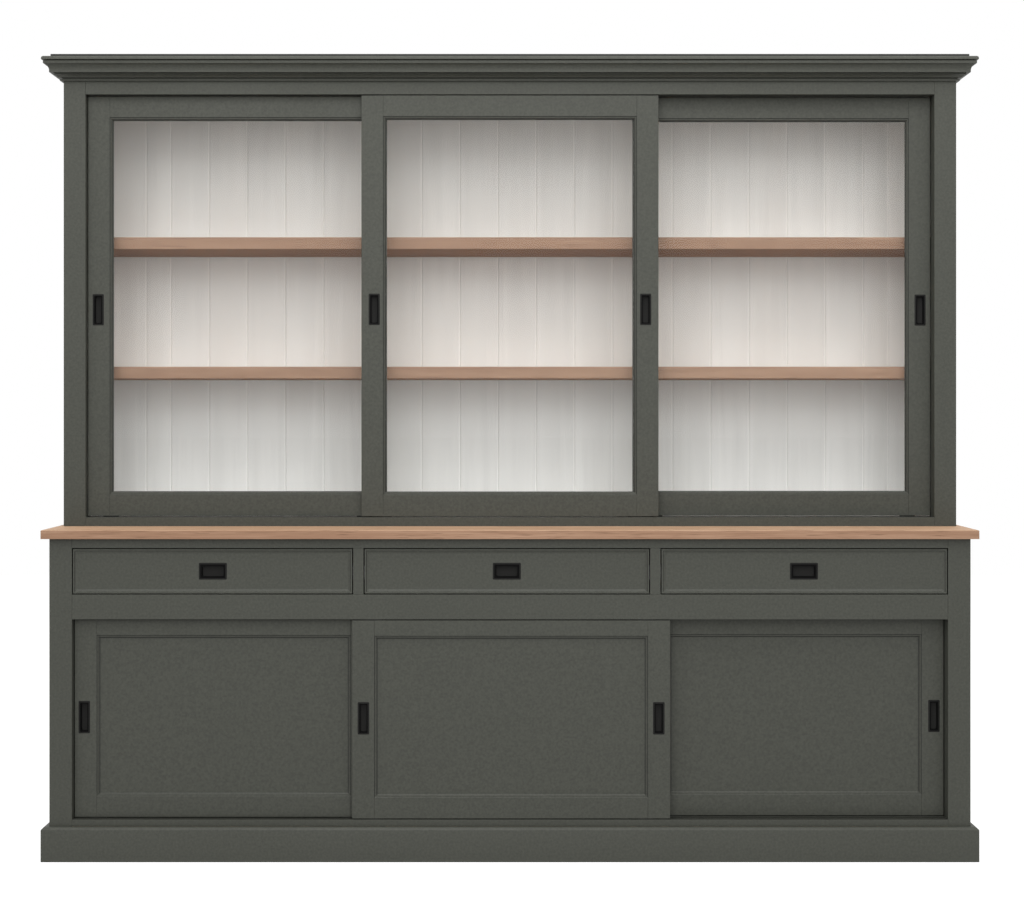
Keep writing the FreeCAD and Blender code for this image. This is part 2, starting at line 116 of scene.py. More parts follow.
def mathNode(tree, x, y, operation, first, second):
    node = addNode(tree, "ShaderNodeMath", x, y, operation=operation)
    for socket, value in zip(node.inputs, (first, second)):
        if isinstance(value, (int, float)):
            socket.default_value = value
        else:
            tree.links.new(value, socket)
    return node.outputs[0]


# grain drawn out along one axis: streaks, pores finer than the streaks, and a height
poreFineness = 4.0


def makeGrainGroup():
    tree, inside, outside = newGroup("grain", [
        ("Vector", "NodeSocketVector", None),
        ("Fineness", "NodeSocketFloat", 60.0),
        ("Pores", "NodeSocketFloat", 0.5),
    ], [("Streak", "NodeSocketFloat"), ("Pore", "NodeSocketFloat"), ("Height", "NodeSocketFloat")])
    wide = setInputs(addNode(tree, "ShaderNodeTexNoise", -700, 300), Detail=6.0, Roughness=0.62, Distortion=0.6)
    fine = setInputs(addNode(tree, "ShaderNodeTexNoise", -700, 0), Detail=3.0)
    fineScale = mathNode(tree, -900, -60, "MULTIPLY", inside.outputs["Fineness"], poreFineness)
    tree.links.new(inside.outputs["Fineness"], wide.inputs["Scale"])
    tree.links.new(fineScale, fine.inputs["Scale"])
    for noise in (wide, fine):
        tree.links.new(inside.outputs["Vector"], noise.inputs["Vector"])
    band = setInputs(addNode(tree, "ShaderNodeMapRange", -450, 0), From_Min=0.56, From_Max=0.68)
    tree.links.new(fine.outputs["Fac"], band.inputs["Value"])
    pore = mathNode(tree, -200, 0, "MULTIPLY", band.outputs["Result"], inside.outputs["Pores"])
    height = mathNode(tree, 100, -100, "SUBTRACT", wide.outputs["Fac"], pore)
    tree.links.new(wide.outputs["Fac"], outside.inputs["Streak"])
    tree.links.new(pore, outside.inputs["Pore"])
    tree.links.new(height, outside.inputs["Height"])
    return tree


# fine mottle of a sprayed coat, and slow clouds in its sheen
def makeMottleGroup():
    tree, inside, outside = newGroup("coatMottle", [
        ("Vector", "NodeSocketVector", None),
        ("Fineness", "NodeSocketFloat", 300.0),
    ], [("Mottle", "NodeSocketFloat"), ("Cloud", "NodeSocketFloat")])
    fine = setInputs(addNode(tree, "ShaderNodeTexNoise", -500, 200), Detail=2.0)
    cloud = setInputs(addNode(tree, "ShaderNodeTexNoise", -500, -100), Scale=3.0, Detail=4.0)
    for noise in (fine, cloud):
        tree.links.new(inside.outputs["Vector"], noise.inputs["Vector"])
    tree.links.new(inside.outputs["Fineness"], fine.inputs["Scale"])
    tree.links.new(fine.outputs["Fac"], outside.inputs["Mottle"])
    tree.links.new(cloud.outputs["Fac"], outside.inputs["Cloud"])
    return tree


# staves glued side by side along X: a tone for each, its joint line, and a grain vector of its own
staveRow = {"joint": 0.004, "shift": {"X": 7.0, "Y": 0.3, "Z": 0.2}}


def makeStaveGroup():
    tree, inside, outside = newGroup("staves", [
        ("Vector", "NodeSocketVector", None),
        ("Width", "NodeSocketFloat", 0.1),
    ], [("Tone", "NodeSocketFloat"), ("Joint", "NodeSocketFloat"), ("Grain", "NodeSocketVector")])
    parts = addNode(tree, "ShaderNodeSeparateXYZ", -900, 200)
    tree.links.new(inside.outputs["Vector"], parts.inputs[0])
    row = mathNode(tree, -700, 200, "DIVIDE", parts.outputs["Y"], inside.outputs["Width"])
    number = mathNode(tree, -500, 300, "FLOOR", row, 0.0)
    chance = addNode(tree, "ShaderNodeTexWhiteNoise", -300, 300, noise_dimensions="1D")
    tree.links.new(number, chance.inputs["W"])
    edge = mathNode(tree, -500, 100, "PINGPONG", row, 0.5)
    joint = mathNode(tree, -300, 100, "LESS_THAN", edge, staveRow["joint"])
    shift = addNode(tree, "ShaderNodeCombineXYZ", -100, -100)
    for label, amount in staveRow["shift"].items():
        distance = mathNode(tree, -300, -100, "MULTIPLY", chance.outputs["Value"], amount)
        tree.links.new(distance, shift.inputs[label])
    moved = addNode(tree, "ShaderNodeVectorMath", 200, -100, operation="ADD")
    tree.links.new(inside.outputs["Vector"], moved.inputs[0])
    tree.links.new(shift.outputs[0], moved.inputs[1])
    tree.links.new(chance.outputs["Value"], outside.inputs["Tone"])
    tree.links.new(joint, outside.inputs["Joint"])
    tree.links.new(moved.outputs[0], outside.inputs["Grain"])
    return tree


grainGroup = makeGrainGroup()
mottleGroup = makeMottleGroup()
staveGroup = makeStaveGroup()


def objectPlace(tree):
    return addNode(tree, "ShaderNodeTexCoord", -1700, 0).outputs["Object"]


def drawnOut(tree, vector, axes, share):
    mapping = setInputs(addNode(tree, "ShaderNodeMapping", -1250, 0),
                        Scale=[share if axis in axes else 1.0 for axis in "XYZ"])
    tree.links.new(vector, mapping.inputs["Vector"])
    return mapping.outputs["Vector"]


def addBump(tree, shader, height, strength, distance):
    bump = setInputs(addNode(tree, "ShaderNodeBump", -200, -400), Strength=strength, Distance=distance)
    tree.links.new(height, bump.inputs["Height"])
    tree.links.new(bump.outputs["Normal"], shader.inputs["Normal"])


def addRamp(tree, value, places, dark, light):
    ramp = addNode(tree, "ShaderNodeValToRGB", -500, 200)
    for element, place, colour in zip(ramp.color_ramp.elements, places, (dark, light)):
        element.position = place
        element.color = linear(colour)
    tree.links.new(value, ramp.inputs["Fac"])
    return ramp.outputs["Color"]


def addRoughness(tree, shader, value, low, high):
    rough = setInputs(addNode(tree, "ShaderNodeMapRange", -400, -200), To_Min=low, To_Max=high)
    tree.links.new(value, rough.inputs["Value"])
    tree.links.new(rough.outputs["Result"], shader.inputs["Roughness"])


def scaled(colour, share):
    return [c * share for c in colour]


# satin paint over wood, with a fine mottle; the wood's grain only just telegraphs through
coat = {
    "mottle": 165.0, "mottleShare": 0.85,
    "grain": 70.0, "grainShare": 0.15, "stretch": 0.06,
    "dark": 0.90, "light": 1.10, "tones": (0.30, 0.72),
    "sheen": 0.35, "roughness": (0.50, 0.64), "bump": (0.10, 0.0002),
}


def makePaint(name, colour, axes):
    material, tree, shader = newMaterial(name)
    place = objectPlace(tree)
    grain = placeGroup(tree, grainGroup, -1000, 200, Fineness=coat["grain"])
    mottle = placeGroup(tree, mottleGroup, -1000, -150, Fineness=coat["mottle"])
    tree.links.new(drawnOut(tree, place, axes, coat["stretch"]), grain.inputs["Vector"])
    tree.links.new(place, mottle.inputs["Vector"])
    streaks = mathNode(tree, -820, 200, "MULTIPLY", grain.outputs["Streak"], coat["grainShare"])
    specks = mathNode(tree, -820, -50, "MULTIPLY", mottle.outputs["Mottle"], coat["mottleShare"])
    tone = mathNode(tree, -650, 200, "ADD", streaks, specks)
    dark, light = scaled(colour, coat["dark"]), scaled(colour, coat["light"])
    tree.links.new(addRamp(tree, tone, coat["tones"], dark, light), shader.inputs["Base Color"])
    setInputs(shader, Specular_IOR_Level=coat["sheen"])
    addRoughness(tree, shader, mottle.outputs["Cloud"], *coat["roughness"])
    addBump(tree, shader, mottle.outputs["Mottle"], *coat["bump"])
    return material


# oiled oak in staves along X, with streaks, dark pores and fine joint lines
oak = {
    "staveWidth": 0.118, "staveTone": 0.14, "jointMark": 0.6, "stretch": 0.035,
    "grain": 95.0, "grainShare": 0.55, "pores": 0.70, "figure": 24.0, "figureShare": 0.45,
    "tones": (0.40, 0.59), "sheen": 0.3, "undersideSheen": 0.05,
    "roughness": (0.52, 0.68), "bump": (0.35, 0.0004),
}


def makeOak(name, tones, sheen):
    material, tree, shader = newMaterial(name)
    light, mean, dark = tones
    staves = placeGroup(tree, staveGroup, -1500, 0, Width=oak["staveWidth"])
    tree.links.new(objectPlace(tree), staves.inputs["Vector"])
    drawn = drawnOut(tree, staves.outputs["Grain"], "X", oak["stretch"])
    grain = placeGroup(tree, grainGroup, -1000, 200, Fineness=oak["grain"], Pores=oak["pores"])
    figure = placeGroup(tree, grainGroup, -1000, -100, Fineness=oak["figure"])
    for group in (grain, figure):
        tree.links.new(drawn, group.inputs["Vector"])
    fine = mathNode(tree, -900, 300, "MULTIPLY", grain.outputs["Streak"], oak["grainShare"])
    broad = mathNode(tree, -900, 100, "MULTIPLY", figure.outputs["Streak"], oak["figureShare"])
    swing = mathNode(tree, -900, -20, "SUBTRACT", staves.outputs["Tone"], 0.5)
    staveTone = mathNode(tree, -800, 0, "MULTIPLY", swing, oak["staveTone"])
    tone = mathNode(tree, -650, 200, "ADD", mathNode(tree, -800, 200, "ADD", fine, broad), staveTone)
    joint = mathNode(tree, -650, -80, "MULTIPLY", staves.outputs["Joint"], oak["jointMark"])
    mark = mathNode(tree, -500, -50, "MAXIMUM", grain.outputs["Pore"], joint)
    mix = addNode(tree, "ShaderNodeMix", -200, 200, data_type="RGBA")
    mix.inputs["B"].default_value = linear(dark)
    tree.links.new(mark, mix.inputs["Factor"])
    tree.links.new(addRamp(tree, tone, oak["tones"], mean, light), mix.inputs["A"])
    tree.links.new(mix.outputs["Result"], shader.inputs["Base Color"])
    setInputs(shader, Specular_IOR_Level=sheen)
    addRoughness(tree, shader, grain.outputs["Streak"], *oak["roughness"])
    addBump(tree, shader, grain.outputs["Height"], *oak["bump"])
    return material


# white or bare boards with a faint grain
board = {
    "grain": 30.0, "pores": 0.2, "stretch": 0.05, "tones": (0.3, 0.7),
    "roughness": (0.55, 0.70), "bump": (0.2, 0.0003),
}


def makeBoard(name, colour, axes, contrast):
    material, tree, shader = newMaterial(name)
    grain = placeGroup(tree, grainGroup, -1000, 200, Fineness=board["grain"], Pores=board["pores"])
    tree.links.new(drawnOut(tree, objectPlace(tree), axes, board["stretch"]), grain.inputs["Vector"])
    dark = scaled(colour, 1 - contrast)
    tree.links.new(addRamp(tree, grain.outputs["Streak"], board["tones"], dark, colour),
                   shader.inputs["Base Color"])
    addRoughness(tree, shader, grain.outputs["Streak"], *board["roughness"])
    addBump(tree, shader, grain.outputs["Height"], *board["bump"])
    return material


# metal or plastic with a faint fine mottle
metal = {"mottle": 900.0, "dark": 0.9, "tones": (0.3, 0.7)}


def makeMetal(name, colour, metallic, roughness, sheen):
    material, tree, shader = newMaterial(name)
    mottle = placeGroup(tree, mottleGroup, -1000, 0, Fineness=metal["mottle"])
    tree.links.new(objectPlace(tree), mottle.inputs["Vector"])
    dark = scaled(colour, metal["dark"])
    tree.links.new(addRamp(tree, mottle.outputs["Mottle"], metal["tones"], dark, colour),
                   shader.inputs["Base Color"])
    setInputs(shader, Metallic=metallic, Specular_IOR_Level=sheen)
    addRoughness(tree, shader, mottle.outputs["Mottle"], *roughness)
    return material


# clear glass that lamp light passes straight through
def makeGlass(name):
    material, tree, shader = newMaterial(name)
    setInputs(shader, Base_Color=(0.985, 0.995, 0.99, 1.0), Roughness=0.0, IOR=1.2, Transmission_Weight=1.0)
    clear = addNode(tree, "ShaderNodeBsdfTransparent", 0, -300)
    path = addNode(tree, "ShaderNodeLightPath", -400, 300)
    mix = addNode(tree, "ShaderNodeMixShader", 300, 100)
    tree.links.new(mathNode(tree, -150, 300, "MAXIMUM", path.outputs["Is Shadow Ray"],
                            path.outputs["Is Diffuse Ray"]), mix.inputs["Fac"])
    tree.links.new(shader.outputs["BSDF"], mix.inputs[1])
    tree.links.new(clear.outputs["BSDF"], mix.inputs[2])
    tree.links.new(mix.outputs["Shader"], tree.nodes["Material Output"].inputs["Surface"])
    return material


paintUpright = makePaint("paintUpright", finish["paint"], "Z")
paintLevel = makePaint("paintLevel", finish["paint"], "X")
# a darker coat of the same paint, laid on as painted shade
paintShade = makePaint("paintShade", finish["quirk"], "X")
# the top oak is painted light and the underside oak, with less sheen, painted shade
oakTopPaintedLight = makeOak("oakTopPaintedLight", finish["oakTopPaintedLight"], oak["sheen"])
oakEdge = makeOak("oakEdge", finish["oakEdge"], oak["sheen"])
oakUnderPaintedShade = makeOak("oakUnderPaintedShade", finish["oakUnderPaintedShade"], oak["undersideSheen"])
oakShelf = makeOak("oakShelf", finish["oakShelf"], oak["sheen"])
plankWhite = makeBoard("plankWhite", finish["board"], "Z", 0.04)
# lighter than the planks, a painted highlight on the plank beads
beadHighlight = makeBoard("beadHighlight", finish["boardBeadHighlight"], "Z", 0.03)
boardWhite = makeBoard("boardWhite", finish["board"], "X", 0.04)
softwood = makeBoard("softwood", finish["softwood"], "XY", 0.2)
blackIron = makeMetal("blackIron", finish["iron"], 0.0, (0.45, 0.60), 0.09)
# near black iron, painted shade in the pulls' cups and on their raised ring
ironShade = makeMetal("ironShade", finish["ironShadeTone"], 0.0, (0.75, 0.9), 0.08)
darkTrack = makeMetal("darkTrack", finish["track"], 0.8, (0.35, 0.5), 0.5)
slideSteel = makeMetal("slideSteel", finish["steel"], 1.0, (0.28, 0.42), 0.5)
blackNylon = makeMetal("blackNylon", finish["nylon"], 0.0, (0.5, 0.65), 0.5)
clearGlass = makeGlass("clearGlass")
print("materials made:", len(bpy.data.materials))

slotMaterials = {
    "paint": paintLevel,
    "oak": oakTopPaintedLight,
    "white_board": boardWhite,
    "bare_wood": softwood,
    "glass": clearGlass,
    "pull_metal": blackIron,
    "track_metal": darkTrack,
    "slide_steel": slideSteel,
    "glider_plastic": blackNylon,
}
for node, slot in slotOf.items():
    mesh = frame["nodes"][node].data
    mesh.materials.clear()
    mesh.materials.append(slotMaterials[slot])
print("finishes on the frame's nodes")


# modelling helpers

hair = 1e-5  # in metres, for finding faces and edges by their place


def nodesEnding(ending):
    return [node for node in slotOf if node.endswith(ending)]


def deselectAll():
    if bpy.context.mode != "OBJECT":
        bpy.ops.object.mode_set(mode="OBJECT")
    bpy.ops.object.select_all(action="DESELECT")


def makeActive(piece):
    deselectAll()
    piece.select_set(True)
    bpy.context.view_layer.objects.active = piece


def addObject(name, data):
    made = bpy.data.objects.new(name, data)
    bpy.context.scene.collection.objects.link(made)
    return made


def newBlock(name, low, high):
    deselectAll()
    bpy.ops.mesh.primitive_cube_add(size=1.0, location=[(a + b) / 2 for a, b in zip(low, high)],
                                    scale=[b - a for a, b in zip(low, high)])
    block = bpy.context.object
    block.name = name
    bpy.ops.object.transform_apply(location=True, rotation=True, scale=True)
    bpy.ops.object.mode_set(mode="EDIT")
    return block


def pickFaces(piece, test):
    bpy.ops.mesh.select_mode(type="FACE")
    bpy.ops.mesh.select_all(action="DESELECT")
    shape = bmesh.from_edit_mesh(piece.data)
    for face in shape.faces:
        face.select_set(bool(test(face.calc_center_median(), face.normal)))
    bmesh.update_edit_mesh(piece.data)


def pickEdges(piece, test):
    bpy.ops.mesh.select_mode(type="EDGE")
    bpy.ops.mesh.select_all(action="DESELECT")
    shape = bmesh.from_edit_mesh(piece.data)
    for edge in shape.edges:
        edge.select_set(bool(test(edge.verts[0].co, edge.verts[1].co)))
    bmesh.update_edit_mesh(piece.data)


def facesFront(centre, normal):
    return normal.y < -0.9


def facesBack(centre, normal):
    return normal.y > 0.9


def paintPicked(piece, index):
    shape = bmesh.from_edit_mesh(piece.data)
    for face in shape.faces:
        if face.select:
            face.material_index = index
    bmesh.update_edit_mesh(piece.data)


def pushPicked(depth):
    bpy.ops.mesh.extrude_region_move(TRANSFORM_OT_translate={"value": (0.0, depth, 0.0)})


# sanded edges: those that turn by more than the angle are eased, those below the other are shaded smooth
easing = {"segments": 2, "angle": 30.0, "smooth": 16.0}


def smoothBelow(degrees):
    bpy.ops.object.shade_smooth_by_angle(angle=math.radians(degrees))


def easeEdges(piece, width, angle, smooth):
    makeActive(piece)
    ease = piece.modifiers.new("easedEdges", "BEVEL")
    ease.width = width
    ease.segments = easing["segments"]
    ease.limit_method = "ANGLE"
    ease.angle_limit = math.radians(angle)
    ease.use_clamp_overlap = False
    bpy.ops.object.modifier_apply(modifier=ease.name)
    smoothBelow(smooth)


# copies of a model's mesh at the given places, joined into one piece
def joinCopies(model, name, places):
    copies = []
    for place in places:
        mesh = model.data.copy()
        mesh.transform(Matrix.Translation(place))
        copies.append(addObject(name, mesh))
    makeActive(copies[0])
    for piece in copies:
        piece.select_set(True)
    if len(copies) > 1:
        bpy.ops.object.join()
    return copies[0]


def standFor(piece, node):
    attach(piece, bodyOf[node])
    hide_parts(node)


# joinery: every board of a node becomes a closed board of its own, with its corners eased by sanding
joinery = {
    "base_face_frame": 0.0010,
    "drawer_dividers": 0.0010,
    "upper_face_frame": 0.0010,
    "door_sills": 0.0006,
    "plinth": 0.0008,
    "plinth_bearers": 0.0015,
    "crown": 0.0004,
    "top_cap": 0.0010,
    "worktop": 0.0004,
    "upper_shelves": 0.0012,
    "back_planks": 0.0014,
    "upper_boards": 0.0006,
    "upper_sides": 0.0,
    "base_sides": 0.0,
    "upper_partitions": 0.0010,
    "base_partitions": 0.0010,
}
doorFrames = {"ease": 0.0008, "pocketMargin": 0.003, "flatNormal": 0.99, "flatTurn": 0.01}
joinery.update({node: doorFrames["ease"] for node in nodesEnding("_door_frame")})
crownEdge = {"round": 0.006, "segments": 4}
microns = 1e6  # in a metre, to match corners by whole numbers
flatDegrees = 0.5


def isTop(centre, normal):
    return normal.z > 0.7


def isInside(centre, normal):
    return normal.x * centre.x < -0.5


def isFrontEdge(centre, normal):
    return normal.y < -0.7


def byHeight(centre, normal):
    return 0 if normal.z > 0.7 else 2 if normal.z < -0.7 else 1


# finishes of a node's boards and the rule for its faces; without a rule, upright boards take the first finish
sideFinish = ((paintUpright, plankWhite), isInside)
partitionFinish = ((plankWhite, paintUpright), isFrontEdge)
frameFinish = ((paintUpright, paintLevel), None)
boardFinishes = {
    # the cap's edges take the darker coat, its top the plain paint
    "top_cap": ((paintShade, paintLevel), isTop),
    # upward faces take the paler oak as painted light, downward faces the darker, less glossy oak as painted
    # shade
    "worktop": ((oakTopPaintedLight, oakEdge, oakUnderPaintedShade), byHeight),
    "upper_shelves": ((oakTopPaintedLight, oakShelf, oakUnderPaintedShade), byHeight),
    "back_planks": ((plankWhite,), None),
    "upper_boards": ((boardWhite, boardWhite), None),
    "plinth_bearers": ((softwood, softwood), None),
    "upper_sides": sideFinish,
    "base_sides": sideFinish,
    "upper_partitions": partitionFinish,
    "base_partitions": partitionFinish,
}


# the faces come board by board, and a board is complete when each of its edges has met its partner
def boardsOf(mesh):
    places = [tuple(round(c * microns) for c in vertex.co) for vertex in mesh.vertices]
    boards, faces, openEdges = [], [], {}
    for polygon in mesh.polygons:
        ring = [places[i] for i in polygon.vertices]
        faces.append(ring)
        for a, b in zip(ring, ring[1:] + ring[:1]):
            if openEdges.get((b, a), 0):
                openEdges[(b, a)] -= 1
                if not openEdges[(b, a)]:
                    del openEdges[(b, a)]
            else:
                openEdges[(a, b)] = openEdges.get((a, b), 0) + 1
        if not openEdges:
            boards.append(faces)
            faces = []
    return boards


def roundCrownEdge(piece):
    low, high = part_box("crown")
    makeActive(piece)
    bpy.ops.object.mode_set(mode="EDIT")
    pickEdges(piece, lambda a, b: min(a.z, b.z) > high[2] - hair and (
        max(a.y, b.y) < low[1] + hair or min(abs(a.x), abs(b.x)) > high[0] - hair))
    bpy.ops.mesh.bevel(offset=crownEdge["round"], segments=crownEdge["segments"])
    bpy.ops.object.mode_set(mode="OBJECT")


# the flat faces above and below a pull's pocket are made whole, so that they shade evenly
def clearStileFaces(shape, node):
    low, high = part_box(node.replace("_frame", "_pull"))
    foot, head = low[2] - doorFrames["pocketMargin"], high[2] + doorFrames["pocketMargin"]
    for level in (foot, head):
        bmesh.ops.bisect_plane(shape, geom=shape.verts[:] + shape.edges[:] + shape.faces[:],
                               plane_co=(0, 0, level), plane_no=(0, 0, 1))
    shape.normal_update()
    flat = []
    for edge in shape.edges:
        middle = (edge.verts[0].co.z + edge.verts[1].co.z) / 2
        faces = edge.link_faces
        if len(faces) == 2 and (middle < foot - hair or middle > head + hair):
            facing = min(abs(face.normal.y) for face in faces)
            if facing > doorFrames["flatNormal"] and edge.calc_face_angle() < doorFrames["flatTurn"]:
                flat.append(edge)
    bmesh.ops.dissolve_edges(shape, edges=flat, use_verts=False, use_face_split=False)


def easedBoards(node, width):
    finishes, rule = boardFinishes.get(node, frameFinish)
    shape = bmesh.new()
    for rings in boardsOf(frame["nodes"][node].data):
        places = dict.fromkeys(place for ring in rings for place in ring)
        corners = {place: shape.verts.new([c / microns for c in place]) for place in places}
        spans = [max(place[k] for place in places) - min(place[k] for place in places) for k in range(3)]
        upright = spans[2] > max(spans[0], spans[1])
        for ring in rings:
            if len(set(ring)) == 3:
                face = shape.faces.new([corners[place] for place in ring])
                face.material_index = 0 if upright else 1
    shape.normal_update()
    if rule:
        for face in shape.faces:
            face.material_index = int(rule(face.calc_center_median(), face.normal))
    bmesh.ops.dissolve_limit(shape, angle_limit=math.radians(flatDegrees), verts=shape.verts, edges=shape.edges)
    if node.endswith("_door_frame"):
        clearStileFaces(shape, node)
    mesh = bpy.data.meshes.new(node + "_boards")
    shape.to_mesh(mesh)
    shape.free()
    for material in finishes:
        mesh.materials.append(material)
    piece = addObject(node + "_boards", mesh)
    if node == "crown":
        roundCrownEdge(piece)
    if width:
        easeEdges(piece, width, easing["angle"], easing["smooth"])
    standFor(piece, node)


for node, width in joinery.items():
    easedBoards(node, width)
print("joinery eased:", len(joinery), "nodes")

# thin half-round beads in the joints of the back's planks, just behind their faces, beside an open groove
plankBeads = {
    "width": 0.0034, "aside": -0.0013, "set": 0.0001, "depth": 0.0030,
    "roundShare": 0.96, "segments": 4, "smooth": 40.0, "grooveMargin": 0.001,
}


def layPlankBeads():
    low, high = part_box("back_planks")
    half = plankBeads["width"] / 2
    front, back = low[1] + plankBeads["set"], low[1] + plankBeads["depth"]
    margin = plankBeads["grooveMargin"]
    grooves = sorted({round(vertex.co.x, 5) for vertex in frame["nodes"]["back_planks"].data.vertices
                      if low[1] + margin < vertex.co.y < high[1] - margin})
    model = newBlock("plankBeadModel", (-half, front, low[2]), (half, back, high[2]))
    pickEdges(model, lambda a, b: abs(a.z - b.z) > hair and max(a.y, b.y) < front + hair)
    bpy.ops.mesh.bevel(offset=half * plankBeads["roundShare"], segments=plankBeads["segments"])
    bpy.ops.object.mode_set(mode="OBJECT")
    smoothBelow(plankBeads["smooth"])
    # the beads take the lighter white, a painted highlight
    model.data.materials.append(beadHighlight)
    joints = grooves[1:-1]
    piece = joinCopies(model, "plank_beads", [(x + plankBeads["aside"], 0.0, 0.0) for x in joints])
    bpy.data.objects.remove(model)
    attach(piece, bodyOf["back_planks"])
    return len(joints)


print("beads in", layPlankBeads(), "plank joints")

# beads round each door's opening; bands inwards: inset, rise to the front, and whether it is painted in shade
beads = {
    "width": 0.008,
    "backGap": 0.0002,
    "depth": 0.0068,
    "bands": [(0.0014, -0.0014, True), (0.0022, 0.0, False), (0.0010, -0.0030, False), (0.0030, -0.0018, True)],
    "upper": {"stile": 0.0575, "topRail": 0.055, "bottomRail": 0.0575},
    "lower": {"stile": 0.0570, "topRail": 0.040, "bottomRail": 0.0540},
    "middle": 0.05,
    "smooth": 16.0,
}


def beadRing(door):
    low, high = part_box(door + "_frame")
    sizes = beads[door.split("_")[0]]
    left, right = low[0] + sizes["stile"], high[0] - sizes["stile"]
    foot, head = low[2] + sizes["bottomRail"], high[2] - sizes["topRail"]
    ring = newBlock(door + "_bead", (left, low[1], foot), (right, low[1] + beads["depth"], head))
    for material in (paintUpright, paintLevel, paintShade):
        ring.data.materials.append(material)
    pickFaces(ring, facesBack)
    bpy.ops.mesh.inset(thickness=beads["width"] - beads["backGap"], depth=0.0)
    pickFaces(ring, facesFront)
    for inset, rise, quirk in beads["bands"]:
        bpy.ops.mesh.inset(thickness=inset, depth=rise)
    # the middle comes out, front and back, and the two openings are joined
    pickFaces(ring, lambda centre, normal: abs(normal.y) > 0.9
              and abs(centre.x - (left + right) / 2) < beads["middle"]
              and abs(centre.z - (foot + head) / 2) < beads["middle"])
    bpy.ops.mesh.delete(type="FACE")
    pickEdges(ring, lambda a, b: False)
    bpy.ops.mesh.select_non_manifold()
    bpy.ops.mesh.bridge_edge_loops()
    pickFaces(ring, lambda centre, normal: min(centre.z - foot, head - centre.z) < beads["width"])
    paintPicked(ring, 1)
    # the bottom run, which the light reaches, gets no painted shade; the marked bands of the top and side runs
    # are painted in shade
    start = 0.0
    for inset, rise, quirk in beads["bands"]:
        near, far = start + hair, start + inset - hair
        start += inset
        if quirk:
            pickFaces(ring, lambda centre, normal: normal.y < -0.1 and centre.z - foot > beads["width"]
                      and near < min(centre.x - left, right - centre.x, centre.z - foot, head - centre.z) < far)
            paintPicked(ring, 2)
    bpy.ops.object.mode_set(mode="OBJECT")
    makeActive(ring)
    smoothBelow(beads["smooth"])
    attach(ring, bodyOf[door + "_frame"])


doors = [node.removesuffix("_frame") for node in nodesEnding("_door_frame")]
for door in doors:
    beadRing(door)
print("beads laid round", len(doors), "doors")

# drawer fronts: a thin rim, a steep step, a slope and the sunk panel, with the pocket of the pull
drawerFronts = {
    "rim": 0.0040,
    "bands": [(0.0010, -0.0024), (0.0062, -0.0026)],
    "pocket": (0.0590, 0.0290),
    "pocketDepth": 0.0115,
    "middle": 0.01,
    "ease": 0.0006,
    "easeAngle": 24.0,
}


def drawerFront(node):
    low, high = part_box(node)
    pullLow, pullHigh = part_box(node.replace("_front", "_pull"))
    x, z = (pullLow[0] + pullHigh[0]) / 2, (pullLow[2] + pullHigh[2]) / 2
    front = newBlock(node + "_board", low, high)
    for material in (paintLevel, paintShade):
        front.data.materials.append(material)
    pickFaces(front, facesFront)
    bpy.ops.mesh.inset(thickness=drawerFronts["rim"], depth=0.0)
    for inset, rise in drawerFronts["bands"]:
        bpy.ops.mesh.inset(thickness=inset, depth=rise)
    panelFace = low[1] - sum(rise for inset, rise in drawerFronts["bands"])
    # the steep step is painted in shade, apart from its bottom run, which the light reaches
    pickFaces(front, lambda centre, normal: -0.6 < normal.y < -0.2 and normal.z < 0.5)
    paintPicked(front, 1)
    wide, tall = drawerFronts["pocket"]
    cuts = [((x + side * wide / 2, 0, z), (1, 0, 0)) for side in (-1, 1)]
    cuts += [((x, 0, z + side * tall / 2), (0, 0, 1)) for side in (-1, 1)]
    for place, direction in cuts:
        pickFaces(front, lambda centre, normal: facesFront(centre, normal) and abs(centre.y - panelFace) < hair)
        bpy.ops.mesh.bisect(plane_co=place, plane_no=direction)
    pickFaces(front, lambda centre, normal: facesFront(centre, normal)
              and abs(centre.x - x) < drawerFronts["middle"] and abs(centre.z - z) < drawerFronts["middle"])
    pushPicked(drawerFronts["pocketDepth"])
    bpy.ops.object.mode_set(mode="OBJECT")
    easeEdges(front, drawerFronts["ease"], drawerFronts["easeAngle"], easing["smooth"])
    standFor(front, node)


for node in nodesEnding("_drawer_front"):
    drawerFront(node)
print("drawer fronts made")

# flush pulls: a rimmed plate on the face with a cup let into the wood
pulls = {
    "door": {"plate": (0.0295, 0.0830), "mouth": (0.0165, 0.0700)},
    "drawer": {"plate": (0.0720, 0.0430), "mouth": (0.0560, 0.0260)},
    "edge": 0.0006,
    "border": 0.0034,
    "rim": 0.0006,
    "rimSlope": 0.0004,
    "mouthCorner": {"offset": 0.004, "segments": 5},
    "plateCorner": {"offset": 0.0026, "segments": 3},
    "cupDepth": 0.0100,
    "cupTaper": (0.97, 0.985),
    "cupFloor": {"thickness": 0.0012, "depth": -0.0003},
    "wall": 0.0012,
    "bottom": 0.0006,
    "sink": 0.0012,
    "middle": 0.0005,
    "ease": 0.00025,
    "easeAngle": 40.0,
    "smooth": 25.0,
}


def resizePicked(x, z):
    bpy.ops.transform.resize(value=(x, 1.0, z), center_override=(0.0, 0.0, 0.0))


